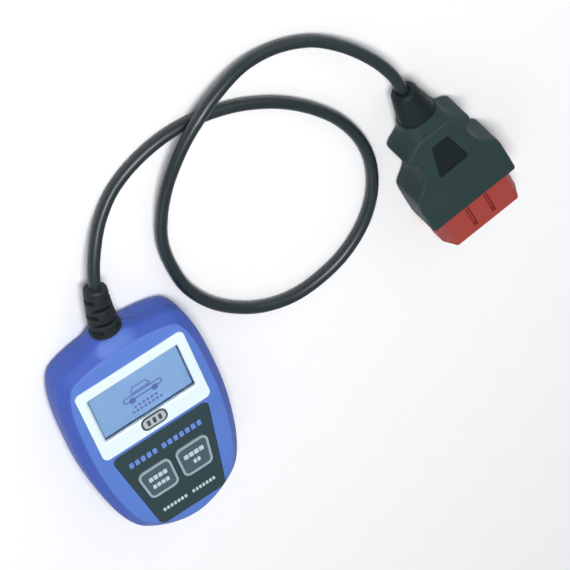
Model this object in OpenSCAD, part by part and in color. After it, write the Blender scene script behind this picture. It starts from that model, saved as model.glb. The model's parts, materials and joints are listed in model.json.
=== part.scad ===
// Handheld vehicle fault-code reader with a fixed cable and a 16-way diagnostic plug.
// Origin: middle of the handset's back, on the surface it lies on.
// +X is to the right, +Y toward the cable, +Z out of the display.

/* [Handset] */
// Overall width of the handset
case_w = 68.5; // [67:0.5:72]
// Overall length of the handset, without its cable
case_l = 109.5; // [108.5:0.5:114]
// Overall thickness of the handset, up to the tops of the keys
case_t = 20; // [20:0.5:23]
// Wall thickness of the two shells
wall = 2; // [1.6:0.1:2.2]
// Width of the sloped band between the face and the side wall
band_w = 4.4; // [3.5:0.1:5]

/* [Display] */
// Width of the bezel round the display
bezel_w = 52; // [50:0.5:53]
// Length of the bezel
bezel_l = 38.5; // [38:0.5:40]
// Width of the opening that shows the display
window_w = 43.2; // [40:0.2:44]
// Length of the opening that shows the display
window_l = 23.5; // [20:0.5:24]

/* [Keys] */
// Width of a key at its upper edge
key_w = 16; // [14:0.5:17]
// Length of a key
key_l = 15.5; // [13:0.5:16]
// Gap between the two keys
key_gap = 2.5; // [2:0.1:3]
// Distance that a key travels when it is pressed
key_travel = 0.8; // [0.4:0.1:1]

/* [Cable] */
// Diameter of the cable
cable_d = 5.2; // [4.6:0.1:5.4]
// Number of flat sides on the cable
cable_sides = 12; // [8:1:12]

/* [Diagnostic plug] */
// Width of the widest part of the moulded plug body
plug_w = 43; // [42:0.5:46]
// Thickness of the moulded plug body
plug_t = 20; // [20:0.5:22]
// Width of the insert across its wide side
insert_w = 38.5; // [38:0.5:39.5]
// Height of the insert
insert_h = 16.5; // [16:0.5:17]
// Distance between neighbouring contacts in a row
contact_pitch = 4; // [3.8:0.1:4]
// Distance between the two rows of contacts
row_spacing = 8.2; // [8:0.1:8.4]

/* [Hidden] */

$fn = 40;
sliver = 0.01; // thickness of the slices that a form is stretched over
over = 1;      // how far a cutting body runs past a face
gap = 0.1;     // assembly clearance between neighbouring fixed pieces

// Handset outline
half_w = case_w / 2;
half_l = case_l / 2;
neck_rise = 2.25;     // how far the cable neck stands proud of the top edge
outline_steps = 6;    // points on each stretch of the outline
// Right half, from the cable end to the foot: [x, y, heading, handle before, handle after]
outline_knots = [
    [0, half_l - neck_rise, 0, 0, 12],
    [half_w - 5.75, half_l - 8.75, -53, 5, 8],
    [half_w, 7, -90, 18, 19.5],
    [half_w - 11.25, 10.25 - half_l, -134.5, 10, 6.5],
    [0, -half_l, -180, 9, 0]
];

// Heights above the surface that the handset lies on
split_z = case_t / 2;      // joint between the shells
face_z = case_t - 0.8;     // face of the front shell
ceiling_z = face_z - wall; // inside of the front shell
bezel_z = ceiling_z + 0.8; // underside of the bezel
panel_z = ceiling_z + 1;   // underside of the keypad panel
board_z = 8;               // underside of the circuit board
board_t = 1.6;
board_top = board_z + board_t;
// Edge of the handset from back to face: [distance in from the outline, height]
edge_profile = [[4, 0], [1.2, 1.2], [0, 4.5], [0, 11], [1, 14.8],
    [band_w, face_z - 0.8], [band_w + 2.5, face_z]];

// Display, from its window down to the board
display_y = 22.75;         // middle of the display
bezel_y = 21;              // middle of the bezel
bezel_t = 1.7;
bezel_r = 2.8;
window_t = 0.8;
window_drop = 0.3;         // how far the pane lies below the bezel's face
gasket_t = 0.5;
glass_t = 1.8;
glass_w = 49.6;
glass_l = 30;
gasket_z = bezel_z - gasket_t;
glass_z = gasket_z - glass_t;
backlight_t = 3;
backlight_z = glass_z - backlight_t;
flex_w = 22;
flex_t = 0.2;
flex_reach = 1.2;          // how far the flex stands off the glass
badge_size = [12.2, 6.8];
badge_y = 7.4;
badge_t = 0.3;

// Keypad panel, symmetrical about X = 0
panel_t = 1.2;
panel_top_y = 0.25;
panel_bottom_y = -45.25;
panel_top_half = 23.4;
panel_bottom_half = 15.7;
panel_r = 2.8;

// Keys and their switches
key_top_y = -14.25;
key_slant = 2.2;           // how much narrower a key is at its lower edge
key_r = 3;
key_clearance = 0.3;
flange_t = 1;
flange_lip = 1.1;
flange_z = ceiling_z - flange_t - 0.2;
key_x = (key_gap + key_w) / 2;
key_y = key_top_y - key_l / 2;
switch_w = 6;
switch_h = 3.5;
plunger_d = 3.5;
plunger_top = board_top + 5;
plunger_sink = 2;          // how deep the plunger sits in its switch
stem_d = 5;

// Screws
boss_d = 6.6;
shell_screw_places = [[-22.3, 44], [22.3, 44], [-12, -44.4], [12, -44.4]];
shell_screw_d = 2.6;
shell_head_d = 4.8;
shell_head_t = 1.8;
head_recess = 1.4;         // how far a screw head lies in from the back
shell_screw_l = 10;
post_d = 5.5;
board_screw_places = [[-20, 2.5], [20, 2.5], [0, -35]];
board_screw_d = 2;

// Blank label on the back
label_size = [38, 46];
label_y = 2;
label_r = 2;
label_recess = 0.5;
label_t = 0.3;

// Cable entry
header_y = 34;             // back of the header under the board
header_l = 3.4;
header_w = 14;
header_h = 5;
header_plug_l = 3;
wires = 4;
wire_d = 1.2;
cable_bore_d = cable_d + 2 * gap;
neck_z = split_z;
neck_r = 6.9;
neck_root_r = 8.8;
neck_l = 5;
entry_d = 8;               // waist of the strain relief where it passes the neck
collar_d = 12;
collar_t = 1.8;
collar_y = half_l - 6.3;   // inner face of the collar
relief_base = 1.4;         // plain ring of the strain relief against the neck
relief_back = 2.5;         // how far its sleeve runs back before it is cut off in the ring
relief_root_r = 6.6;
relief_tip_r = 5;
relief_core_d = 6.8;       // round core that its slots leave
relief_pitch = 7;
relief_side_slot = 2.1;    // length of the slots at its sides
relief_flat_slot = 1.7;    // length of the slots above and below
relief_bridge = 5;         // width left standing between two opposite slots
relief_tip = [3.4, 75.8, 9.5];

// Cable route from the collar inside the handset to the wires inside the plug.
// It lies on the surface, passes over itself once and rises to the plug.
rest_z = 2.7;              // height of the middle of the cable where it lies flat
route = [
    [0, 50, 10], [0.6, 61, 9.9], [3.4, 76, 9.5], [9, 88, 7.4], [18, 99.5, 4.4],
    [29.5, 108.5, rest_z], [42, 114, rest_z], [56, 116.5, rest_z], [70, 115.5, rest_z],
    [84, 111.5, rest_z], [96.5, 105, rest_z], [107.5, 96.5, rest_z], [117, 86, rest_z],
    [124.5, 74, rest_z], [129, 60.5, rest_z], [129.5, 46.5, rest_z], [125.5, 33, rest_z],
    [117.5, 21.5, rest_z], [106, 13, rest_z], [93, 8.5, rest_z], [78.5, 7.5, rest_z],
    [65, 11.5, rest_z], [53.5, 19.5, rest_z], [44.5, 30, rest_z], [38.5, 43, rest_z],
    [36.5, 57, rest_z], [37, 71, 3.4], [41, 85, 5.4], [47, 97.5, 7.5], [55.5, 108.5, 8.8],
    [67, 118, 9], [80.5, 124.5, 7.4], [96.5, 127.5, 4.8], [112.5, 124.5, 3.1],
    [125, 118.5, 3.1], [136, 109, 5], [144.5, 97.5, 7.6], [149.5, 86.5, 9.4],
    [151.3, 76.5, 10], [154.6, 52.7, 10]
];
last = len(route) - 1;

// Diagnostic plug. Its own X runs from the boot's tip to the mating end, its Z is up.
plug_tip = [151.3, 76.5, plug_t / 2];
plug_yaw = -82.1;
boot_l = 14;
boot_tip_r = 5.6;
boot_root_r = 8.4;
plug_front = 63.8;         // face that the insert stands out of
plug_end = 79.5;           // mating end
half_plug = plug_w / 2;
half_t = plug_t / 2;
// Right half of the plug body from the boot to the face: [along, across]
plug_half = [[boot_l, 8.8], [20.8, 9.9], [25.2, 16.2], [27, 16], [30.6, 12.7], [33, 12.8], [38.8, 14.5],
    [45.3, half_plug - 0.5], [50, half_plug], [plug_front, half_plug]];
// Upper half of the plug body seen from the side: [along, up]
plug_side = [[boot_l, half_t - 1.7], [20.8, half_t - 1.2], [24, half_t - 0.7], [plug_front, half_t]];
grip_floor = half_t - 1.5; // floor of the recess that the grip pad lies in
grip_pad_t = 0.4;
grip_r = 1.2;
grip_outline = [[26.3, -4], [26.3, 4], [42, 7.5], [42, -7.5]];
insert_root = 52;          // back of the insert, inside the plug body
insert_wall = 1.6;
mouth_floor = 66;
insert_top_w = 32;         // width across the narrow side
insert_knee = 0.5;         // height at which the flanks start to slant
slot_x = [65.4, 76.5];     // ends of the two keyways in the narrow side
slot_y = 4.75;
slot_w = 1.9;
slot_depth = 2.6;
slot_wall = 0.8;           // wall round a keyway where it hangs into the mouth
bar_w = 18;
bar_t = 2.2;
bar_end = 78;
contact_w = 1.5;
contact_t = 0.8;
contacts = 8;              // in each row
contact_root = 47;
contact_end = 77;
cavity_root = 45;
channel_end = 27;
duct_w = 6.4;              // duct that the wires fan out in, behind the contacts
duct_h = row_spacing + 2.2;
wire_root = 24.3;

// ---- Shared shapes ----

function unit(v) = v / norm(v);

function heading(angle) = [cos(angle), sin(angle)];

function between(a, b, t) =
    let (start = [a[0], a[1]], end = [b[0], b[1]],
         leave = start + a[4] * heading(a[2]), arrive = end - b[3] * heading(b[2]))
    pow(1 - t, 3) * start + 3 * t * pow(1 - t, 2) * leave
    + 3 * t * t * (1 - t) * arrive + pow(t, 3) * end;

right_side = [for (k = [0 : len(outline_knots) - 2], s = [0 : outline_steps - 1])
    between(outline_knots[k], outline_knots[k + 1], s / outline_steps)];
left_side = [for (i = [len(right_side) - 1 : -1 : 1]) [-right_side[i][0], right_side[i][1]]];

module case_outline(inset) {
    offset(delta = -inset) polygon(concat(right_side, [[0, -half_l]], left_side));
}

// The handset's rounded form, drawn in by `shrink` all round
module case_form(shrink = 0) {
    hull() for (p = edge_profile)
        translate([0, 0, shrink + p[1] * (face_z - 2 * shrink - sliver) / face_z])
            linear_extrude(sliver) case_outline(p[0] + shrink);
}

module case_block() {
    case_form();
    translate([0, half_l, neck_z]) rotate([90, 0, 0])
        cylinder(r1 = neck_r, r2 = neck_root_r, h = neck_l);
}

// Everything from height `low` to height `high`
module layer(low, high) {
    translate([-case_w, -case_l, low]) cube([2 * case_w, 2 * case_l, high - low]);
}

module entry_bore() {
    translate([0, half_l + over, neck_z]) rotate([90, 0, 0])
        cylinder(d = entry_d, h = half_l - collar_y + over);
    translate([0, collar_y + collar_t + gap, neck_z]) rotate([90, 0, 0])
        cylinder(d = collar_d + 2 * gap, h = 2 * collar_t);
}

module round_rect(size, r) {
    offset(r = r) square([size[0] - 2 * r, size[1] - 2 * r], center = true);
}

module panel_shape(grow = 0) {
    offset(r = panel_r + grow) offset(delta = -panel_r)
        polygon([[-panel_top_half, panel_top_y], [panel_top_half, panel_top_y],
            [panel_bottom_half, panel_bottom_y], [-panel_bottom_half, panel_bottom_y]]);
}

// Right-hand key outline; the left one is its mirror image
module key_shape(grow = 0) {
    offset(r = key_r + grow) offset(delta = -key_r)
        polygon([[key_gap / 2, key_top_y], [key_gap / 2 + key_w, key_top_y],
            [key_gap / 2 + key_w - key_slant, key_top_y - key_l],
            [key_gap / 2, key_top_y - key_l]]);
}

module both_sides() {
    children();
    mirror([1, 0, 0]) children();
}

// A round bar from point a to point b
module bar(a, b, d) {
    run = b - a;
    translate(a) rotate([0, acos(run[2] / norm(run)), atan2(run[1], run[0])])
        cylinder(d = d, h = norm(run), $fn = 16);
}

// ---- Handset shells ----

module front_shell() {
    color("royalblue") difference() {
        intersection() {
            case_block();
            layer(split_z, case_t);
        }
        difference() {
            case_form(wall);
            for (p = shell_screw_places) translate([p[0], p[1], 0])
                cylinder(d = boss_d, h = case_t);
        }
        entry_bore();
        for (p = shell_screw_places) translate([p[0], p[1], split_z - over])
            cylinder(d = shell_screw_d + gap, h = ceiling_z - split_z);
        translate([0, bezel_y, bezel_z]) linear_extrude(case_t)
            round_rect([bezel_w + 2 * gap, bezel_l + 2 * gap], bezel_r);
        translate([0, display_y, split_z]) linear_extrude(case_t)
            square([glass_w + 2 * gap, glass_l + 2 * gap], center = true);
        translate([0, 0, panel_z]) linear_extrude(case_t) panel_shape(gap);
        both_sides() translate([0, 0, split_z]) linear_extrude(case_t)
            key_shape(key_clearance);
    }
}

module rear_shell() {
    color("mediumblue") difference() {
        intersection() {
            case_block();
            layer(-over, split_z);
        }
        difference() {
            case_form(wall);
            for (p = shell_screw_places) translate([p[0], p[1], 0])
                cylinder(d = boss_d, h = split_z);
            for (p = board_screw_places) translate([p[0], p[1], 0])
                cylinder(d = post_d, h = board_z);
        }
        entry_bore();
        for (p = shell_screw_places) translate([p[0], p[1], -over]) {
            cylinder(d = shell_screw_d + 4 * gap, h = case_t);
            cylinder(d = shell_head_d + 4 * gap, h = head_recess + shell_head_t + over);
        }
        for (p = board_screw_places) translate([p[0], p[1], wall])
            cylinder(d = board_screw_d - 0.3, h = case_t);
        translate([0, label_y, -over]) linear_extrude(over + label_recess)
            round_rect([label_size[0] + 2 * gap, label_size[1] + 2 * gap], label_r);
    }
}

module rear_label() {
    color("whitesmoke") translate([0, label_y, label_recess - label_t])
        linear_extrude(label_t) round_rect(label_size, label_r);
}

module shell_screws() {
    color("silver") for (p = shell_screw_places) translate([p[0], p[1], head_recess])
        difference() {
            union() {
                cylinder(d = shell_head_d, h = shell_head_t);
                cylinder(d = shell_screw_d, h = shell_head_t + shell_screw_l);
            }
            for (turn = [0, 90]) rotate([0, 0, turn])
                cube([2.6, 0.6, 2], center = true);
        }
}

// ---- Display ----

module display_bezel() {
    color("aliceblue") translate([0, 0, bezel_z]) difference() {
        translate([0, bezel_y, 0]) linear_extrude(bezel_t)
            round_rect([bezel_w, bezel_l], bezel_r);
        translate([0, display_y, -over]) linear_extrude(bezel_t + 2 * over)
            square([window_w, window_l], center = true);
    }
}

module display_window() {
    color("lightcyan", 0.5) translate([0, display_y, bezel_z + bezel_t - window_drop - window_t])
        linear_extrude(window_t) square([window_w, window_l], center = true);
}

module display_gasket() {
    color("dimgray") translate([0, display_y, gasket_z]) linear_extrude(gasket_t)
        difference() {
            square([glass_w - 1, glass_l - 1], center = true);
            square([window_w, window_l], center = true);
        }
}

module display_glass() {
    color("cornflowerblue") translate([0, display_y, glass_z]) linear_extrude(glass_t)
        square([glass_w, glass_l], center = true);
}

module display_backlight() {
    color("azure") translate([0, display_y, backlight_z]) {
        linear_extrude(backlight_t) square([glass_w, glass_l], center = true);
        for (x = [-1, 1], y = [-1, 1])
            translate([x * (glass_w / 2 - 2), y * (glass_l / 2 - 6), board_top - backlight_z])
                cylinder(d = 2, h = backlight_z - board_top + over);
    }
}

module display_flex() {
    high = glass_z + glass_t / 2;
    color("darkorange") translate([-flex_w / 2, display_y + glass_l / 2, 0])
        rotate([90, 0, 90]) linear_extrude(flex_w) polygon([
            [0, high], [flex_reach, high], [flex_reach, board_top], [0, board_top],
            [0, board_top + flex_t], [flex_reach - flex_t, board_top + flex_t],
            [flex_reach - flex_t, high - flex_t], [0, high - flex_t]]);
}

module badge() {
    color("darkslategray") translate([0, badge_y, bezel_z + bezel_t]) linear_extrude(badge_t)
        round_rect(badge_size, 2);
}

// ---- Keypad ----

module keypad_panel() {
    color("darkslategray") translate([0, 0, panel_z]) linear_extrude(panel_t) difference() {
        panel_shape();
        both_sides() key_shape(key_clearance);
    }
}

module right_button() {
    color("slategray") {
        translate([0, 0, flange_z]) linear_extrude(case_t - flange_z) key_shape();
        translate([0, 0, flange_z]) linear_extrude(flange_t) intersection() {
            key_shape(flange_lip);
            translate([key_gap / 4, -case_l]) square([case_w, case_l]);
        }
        translate([key_x, key_y, plunger_top])
            cylinder(d = stem_d, h = flange_z - plunger_top);
    }
}

module left_button() {
    mirror([1, 0, 0]) right_button();
}

module switch_body(x) {
    color("black") translate([x, key_y, board_top]) difference() {
        translate([-switch_w / 2, -switch_w / 2, 0]) cube([switch_w, switch_w, switch_h]);
        translate([0, 0, switch_h - plunger_sink - key_travel - gap])
            cylinder(d = plunger_d + 0.4, h = case_t);
    }
}

module left_switch_body() {
    switch_body(-key_x);
}

module right_switch_body() {
    switch_body(key_x);
}

module switch_plunger(x) {
    low = board_top + switch_h - plunger_sink;
    color("saddlebrown") translate([x, key_y, low])
        cylinder(d = plunger_d, h = plunger_top - low);
}

module left_switch_plunger() {
    switch_plunger(-key_x);
}

module right_switch_plunger() {
    switch_plunger(key_x);
}

// ---- Electronics ----

module main_board() {
    color("darkgreen") translate([0, 0, board_z]) difference() {
        linear_extrude(board_t) polygon([[-26, 40], [26, 40], [29, 33], [29, -8], [17.5, -39],
            [-17.5, -39], [-29, -8], [-29, 33]]);
        for (p = board_screw_places) translate([p[0], p[1], -over])
            cylinder(d = board_screw_d + 0.3, h = board_t + 2 * over);
    }
}

module board_screws() {
    color("silver") for (p = board_screw_places) translate([p[0], p[1], 0]) {
        translate([0, 0, board_top]) cylinder(d = 3.8, h = 1.3);
        translate([0, 0, board_z - 4]) cylinder(d = board_screw_d - 0.4, h = 5.6);
    }
}

// A flat chip under the board, with a row of leads along each of two opposite sides
module chip(place, size, leads, pitch, turn = 0) {
    translate([place[0], place[1], board_z - size[2]]) rotate([0, 0, turn]) {
        translate([-size[0] / 2, -size[1] / 2, 0]) cube([size[0], size[1], size[2] - 0.1]);
        for (i = [0 : leads - 1], side = [-1, 1])
            translate([side * (size[0] / 2 + 0.5) - 0.6,
                    (i - (leads - 1) / 2) * pitch - 0.2, size[2] - 0.4])
                cube([1.2, 0.4, 0.4]);
    }
}

module microcontroller() {
    color("dimgray") for (turn = [0, 90]) chip([0, 18], [10, 10, 1.6], 11, 0.8, turn);
}

module bus_transceiver() {
    color("dimgray") chip([-12, -9], [4, 5, 1.6], 4, 1.27);
}

module voltage_regulator() {
    color("dimgray") chip([12, -9], [3.6, 6.6, 1.8], 3, 2.3);
}

module crystal() {
    color("silver") translate([0, 6, board_z - 3.6]) linear_extrude(3.6)
        round_rect([11, 4.6], 2.2);
}

module electrolytic_capacitors() {
    color("gainsboro") for (x = [-8, 8]) translate([x, -20, board_z - 5.4])
        cylinder(d = 6.3, h = 5.4);
}

module chip_capacitors() {
    color("tan") for (x = [-16, -12, 12, 16], y = [10, 26])
        translate([x - 0.6, y - 1, board_z - 0.8]) cube([1.2, 2, 0.8]);
}

module chip_resistors() {
    color("black") for (x = [-6 : 3 : 6], y = [-4, -28])
        translate([x - 0.6, y - 1, board_z - 0.5]) cube([1.2, 2, 0.5]);
}

// ---- Cable entry ----

module cable_header() {
    color("ivory") translate([-header_w / 2, header_y, board_z - header_h])
        cube([header_w, header_l, header_h]);
}

module cable_header_plug() {
    color("white") translate([-header_w / 2 + 0.6, header_y + header_l, board_z - header_h + 0.4])
        cube([header_w - 1.2, header_plug_l, header_h - 0.8]);
}

module handset_wires() {
    plug_face = header_y + header_l + header_plug_l;
    color("crimson") for (i = [0 : wires - 1]) {
        spread = i - (wires - 1) / 2;
        bar([spread * 2.6, plug_face - 0.5, board_z - header_h / 2],
            [spread * 1.3, collar_y + 0.5, neck_z], wire_d);
    }
}

module handset_strain_relief() {
    base_end = [0, half_l + relief_base, neck_z];
    run = relief_tip - base_end;
    color([0.15, 0.19, 0.2]) difference() {
        union() {
            translate([0, collar_y + collar_t, neck_z]) rotate([90, 0, 0])
                cylinder(d = collar_d, h = collar_t);
            translate([0, half_l, neck_z]) rotate([90, 0, 0])
                cylinder(d = entry_d, h = half_l - collar_y);
            translate([0, half_l + relief_base, neck_z]) rotate([90, 0, 0])
                cylinder(r = neck_r, h = relief_base);
            intersection() {
                translate(base_end) rotate([0, acos(run[2] / norm(run)), atan2(run[1], run[0])])
                    bend_relief(norm(run));
                translate([-case_w / 2, half_l + relief_base / 2, 0])
                    cube([case_w, case_l, case_t]);
            }
        }
        bar([0, collar_y - over, neck_z], base_end, cable_bore_d);
        translate(base_end) sphere(d = cable_bore_d + 4 * gap);
        bar(base_end, relief_tip + over * unit(run), cable_bore_d);
    }
}

// Two opposite slots across the sleeve, with a bridge left between them
module slot_pair(low, width) {
    translate([0, 0, low]) difference() {
        translate([-neck_r, -neck_r, 0]) cube([2 * neck_r, 2 * neck_r, width]);
        translate([-neck_r, -relief_bridge / 2, -over])
            cube([2 * neck_r, relief_bridge, width + 2 * over]);
    }
}

// Tapered sleeve, slotted in pairs at its sides and, between those, above and below.
// It runs back into the ring that it stands on.
module bend_relief(length) {
    difference() {
        union() {
            cylinder(r1 = relief_root_r, r2 = relief_tip_r, h = length);
            translate([0, 0, -relief_back]) cylinder(r = relief_root_r, h = relief_back);
        }
        difference() {
            union() {
                slot_pair(-relief_back - over, relief_side_slot + relief_back + over);
                for (i = [1, 2])
                    slot_pair(i * relief_pitch, relief_side_slot);
                for (i = [0, 1])
                    rotate([0, 0, 90]) slot_pair((i + 0.5) * relief_pitch, relief_flat_slot);
            }
            translate([0, 0, -relief_back - 2 * over])
                cylinder(d = relief_core_d, h = length + relief_back + 3 * over);
        }
    }
}

// ---- Cable ----

function along(i) = unit(route[min(i + 1, last)] - route[max(i - 1, 0)]);

function cable_ring(i) =
    let (side = unit(cross(along(i), [0, 0, 1])), up = cross(side, along(i)))
    [for (k = [0 : cable_sides - 1])
        route[i] + cable_d / 2 * (cos(360 * k / cable_sides) * side
            + sin(360 * k / cable_sides) * up)];

module cable() {
    points = [for (i = [0 : last]) each cable_ring(i)];
    start_cap = [for (k = [cable_sides - 1 : -1 : 0]) k];
    end_cap = [for (k = [0 : cable_sides - 1]) last * cable_sides + k];
    walls = [for (i = [0 : last - 1], k = [0 : cable_sides - 1])
        let (a = i * cable_sides + k, b = i * cable_sides + (k + 1) % cable_sides,
             c = b + cable_sides, d = a + cable_sides)
        each [[a, b, c], [a, c, d]]];
    color([0.19, 0.24, 0.25]) polyhedron(points = points,
        faces = concat([start_cap], walls, [end_cap]));
}

// ---- Diagnostic plug ----

module at_plug() {
    translate(plug_tip) rotate([0, 0, plug_yaw]) children();
}

function flip(points) = [for (i = [len(points) - 1 : -1 : 0]) [points[i][0], -points[i][1]]];

module plug_boot() {
    color([0.14, 0.18, 0.19]) at_plug() rotate([0, 90, 0]) difference() {
        cylinder(r1 = boot_tip_r, r2 = boot_root_r, h = boot_l);
        translate([0, 0, -over]) cylinder(d = cable_bore_d, h = boot_l + 2 * over);
    }
}

// Section of the insert, drawn in by `inset`: [across, up]
module insert_shape(inset = 0) {
    h = insert_h / 2;
    offset(delta = -inset) polygon([[-insert_w / 2, -h], [insert_w / 2, -h],
        [insert_w / 2, insert_knee], [insert_top_w / 2, h], [-insert_top_w / 2, h],
        [-insert_w / 2, insert_knee]]);
}

// Stretches a section along the plug from `low` to `high`
module plug_run(low, high) {
    translate([low, 0, 0]) rotate([90, 0, 90]) linear_extrude(high - low) children();
}

// Outline of the recess in the top of the plug body and of the pad that fills it
module grip_shape() {
    offset(r = grip_r) offset(delta = -grip_r) polygon(grip_outline);
}

module plug_body() {
    color([0.2, 0.26, 0.27]) at_plug() difference() {
        intersection() {
            translate([0, 0, -half_t]) linear_extrude(plug_t)
                polygon(concat(plug_half, flip(plug_half)));
            translate([0, half_plug + over, 0]) rotate([90, 0, 0])
                linear_extrude(2 * (half_plug + over))
                    polygon(concat(plug_side, flip(plug_side)));
        }
        plug_run(insert_root, plug_front + over) insert_shape();
        plug_run(cavity_root, insert_root + sliver)
            square([insert_w - 4, row_spacing + 3], center = true);
        translate([boot_l - over, 0, 0]) rotate([0, 90, 0])
            cylinder(d = cable_bore_d, h = channel_end - boot_l + over);
        plug_run(channel_end - over, cavity_root + over) square([duct_w, duct_h], center = true);
        translate([0, 0, grip_floor]) linear_extrude(half_t) grip_shape();
    }
}

module plug_grip_pad() {
    color([0.14, 0.18, 0.19]) at_plug() translate([0, 0, grip_floor])
        linear_extrude(grip_pad_t) grip_shape();
}

// One contact's place in the plug: [across, up]
contact_places = [for (row = [-1, 1], i = [0 : contacts - 1])
    [(i - (contacts - 1) / 2) * contact_pitch, row * row_spacing / 2]];

module contact_shape() {
    for (p = contact_places) translate(p) square([contact_w, contact_t], center = true);
}

module obd_insert() {
    color("firebrick") at_plug() difference() {
        union() {
            difference() {
                plug_run(insert_root, plug_end) insert_shape();
                plug_run(mouth_floor, plug_end + over) insert_shape(insert_wall);
            }
            plug_run(mouth_floor - over, bar_end) square([bar_w, bar_t], center = true);
            for (side = [-1, 1])
                translate([mouth_floor - over, side * slot_y - slot_w / 2 - slot_wall,
                        insert_h / 2 - slot_depth - slot_wall])
                    cube([slot_x[1] + slot_wall - mouth_floor, slot_w + 2 * slot_wall,
                        slot_depth + slot_wall - insert_wall / 2]);
        }
        plug_run(insert_root - over, mouth_floor + over) contact_shape();
        for (side = [-1, 1])
            translate([slot_x[0], side * slot_y - slot_w / 2, insert_h / 2 - slot_depth])
                cube([slot_x[1] - slot_x[0], slot_w, slot_depth + over]);
    }
}

module contact_pins() {
    color("gold") at_plug() plug_run(contact_root, contact_end) contact_shape();
}

module plug_wires() {
    color("crimson") at_plug() for (side = [-1, 1], row = [-1, 1])
        bar([wire_root, side, row], [contact_root, 2 * side, row * row_spacing / 2], wire_d);
}

front_shell();
rear_shell();
display_bezel();
display_window();
display_gasket();
display_glass();
display_backlight();
display_flex();
badge();
keypad_panel();
left_button();
right_button();
left_switch_body();
right_switch_body();
left_switch_plunger();
right_switch_plunger();
main_board();
microcontroller();
bus_transceiver();
voltage_regulator();
crystal();
electrolytic_capacitors();
chip_capacitors();
chip_resistors();
cable_header();
cable_header_plug();
handset_wires();
shell_screws();
board_screws();
rear_label();
handset_strain_relief();
cable();
plug_boot();
plug_body();
plug_grip_pad();
obd_insert();
contact_pins();
plug_wires();
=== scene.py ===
import json
import math

import bmesh
import bpy
from mathutils import Matrix, Vector


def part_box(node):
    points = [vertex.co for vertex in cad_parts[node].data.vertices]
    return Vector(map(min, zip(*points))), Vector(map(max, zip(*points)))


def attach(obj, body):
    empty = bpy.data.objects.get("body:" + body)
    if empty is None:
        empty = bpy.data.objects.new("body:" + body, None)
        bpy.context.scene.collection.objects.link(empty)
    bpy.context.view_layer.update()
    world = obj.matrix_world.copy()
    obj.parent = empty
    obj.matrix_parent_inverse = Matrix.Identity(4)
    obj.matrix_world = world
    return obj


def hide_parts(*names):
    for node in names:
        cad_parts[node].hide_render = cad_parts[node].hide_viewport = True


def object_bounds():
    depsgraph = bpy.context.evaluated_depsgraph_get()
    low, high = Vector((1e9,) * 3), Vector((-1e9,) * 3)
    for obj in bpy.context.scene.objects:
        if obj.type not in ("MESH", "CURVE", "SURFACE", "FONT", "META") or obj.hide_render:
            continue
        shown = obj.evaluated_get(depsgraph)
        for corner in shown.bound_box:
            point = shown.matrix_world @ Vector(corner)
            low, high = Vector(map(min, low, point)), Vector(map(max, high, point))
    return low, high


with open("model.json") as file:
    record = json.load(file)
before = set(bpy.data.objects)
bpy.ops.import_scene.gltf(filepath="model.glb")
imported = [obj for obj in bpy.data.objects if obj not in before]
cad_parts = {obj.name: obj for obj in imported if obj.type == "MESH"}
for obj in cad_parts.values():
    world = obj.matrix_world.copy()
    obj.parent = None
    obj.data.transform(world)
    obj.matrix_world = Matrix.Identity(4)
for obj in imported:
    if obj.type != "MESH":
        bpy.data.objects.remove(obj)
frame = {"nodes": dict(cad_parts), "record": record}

cad_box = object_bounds()
MM = 0.001  # the shapes below are drawn in millimetres
WELD = 0.0003 * MM  # points closer than this are one point
CAD_WELD = 0.001 * MM  # the same, for the CAD pieces' meshes


def box_of(name):
    """The lowest and the highest corner of a CAD piece, in millimetres."""
    return [Vector(corner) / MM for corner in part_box(name)]


# Heights and edges that the frame gives, in millimetres
FACE_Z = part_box("front_shell")[1][2] / MM
SPLIT_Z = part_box("rear_shell")[1][2] / MM
TOP_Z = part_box("left_button")[1][2] / MM
HALF_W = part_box("front_shell")[1][0] / MM
HALF_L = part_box("front_shell")[1][1] / MM
BEZEL_LOW, BEZEL_HIGH = box_of("display_bezel")
PANEL_LOW, PANEL_HIGH = box_of("keypad_panel")
GLASS_LOW, GLASS_HIGH = box_of("display_glass")
WINDOW_LOW, WINDOW_HIGH = box_of("display_window")
LABEL_LOW, LABEL_HIGH = box_of("rear_label")

# The cable's route from the handset to the plug, in metres
REST_Z = 0.0027
ROUTE = [
    (0, 0.05, 0.01), (0.0006, 0.061, 0.0099), (0.0034, 0.076, 0.0095), (0.009, 0.088, 0.0074),
    (0.018, 0.0995, 0.0044), (0.0295, 0.1085, REST_Z), (0.042, 0.114, REST_Z),
    (0.056, 0.1165, REST_Z), (0.07, 0.1155, REST_Z), (0.084, 0.1115, REST_Z),
    (0.0965, 0.105, REST_Z), (0.1075, 0.0965, REST_Z), (0.117, 0.086, REST_Z),
    (0.1245, 0.074, REST_Z), (0.129, 0.0605, REST_Z), (0.1295, 0.0465, REST_Z),
    (0.1255, 0.033, REST_Z), (0.1175, 0.0215, REST_Z), (0.106, 0.013, REST_Z),
    (0.093, 0.0085, REST_Z), (0.0785, 0.0075, REST_Z), (0.065, 0.0115, REST_Z),
    (0.0535, 0.0195, REST_Z), (0.0445, 0.03, REST_Z), (0.0385, 0.043, REST_Z),
    (0.0365, 0.057, REST_Z), (0.037, 0.071, 0.0034), (0.041, 0.085, 0.0054),
    (0.047, 0.0975, 0.0075), (0.0555, 0.1085, 0.0088), (0.067, 0.118, 0.009),
    (0.0805, 0.1245, 0.0074), (0.0965, 0.1275, 0.0048), (0.1125, 0.1245, 0.0031),
    (0.125, 0.1185, 0.0031), (0.136, 0.109, 0.005), (0.1445, 0.0975, 0.0076),
    (0.1495, 0.0865, 0.0094), (0.1513, 0.0765, 0.01), (0.1546, 0.0527, 0.01),
]
CABLE_D = 0.0052

# The plug's own X runs from its boot's tip to its mating end
PLUG_TIP = Vector((151.3, 76.5, 10))
PLUG_YAW = math.radians(-82.1)


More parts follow.
